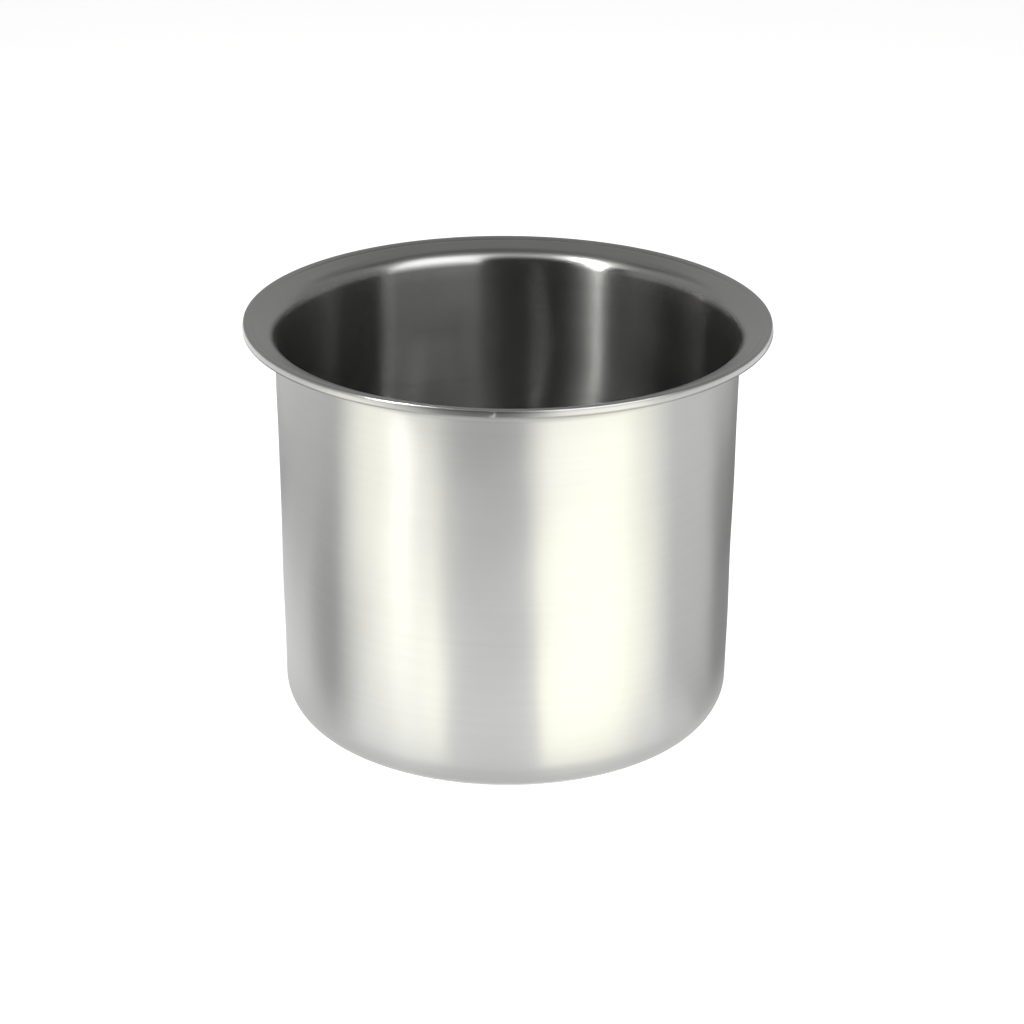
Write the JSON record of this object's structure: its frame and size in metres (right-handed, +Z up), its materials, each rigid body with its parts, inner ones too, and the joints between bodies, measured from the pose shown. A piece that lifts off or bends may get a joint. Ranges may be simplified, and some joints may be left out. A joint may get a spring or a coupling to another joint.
{
  "type": "soup kettle inset pot",
  "caption": "Round, straight-sided inset pot of a soup kettle, drawn from sheet steel, with a rounded base, a sloping flange and a rim rolled round a wire.",
  "frame": {"origin": "centre of the standing face, on the pot's axis", "axes": "+Z up along the pot's axis, through the mouth; -Y is the side on which the ends of the rim wire meet"},
  "size_m": [0.2444, 0.2444, 0.195],
  "materials": {
    "satin_stainless": "stainless steel sheet, polished to a satin gloss with fine marks round the axis",
    "drawn_wire": "bright drawn stainless steel wire"
  },
  "bodies": {
    "root": {"drawn_vessel": "satin_stainless", "rim_wire": "drawn_wire"}
  },
  "joints": []
}
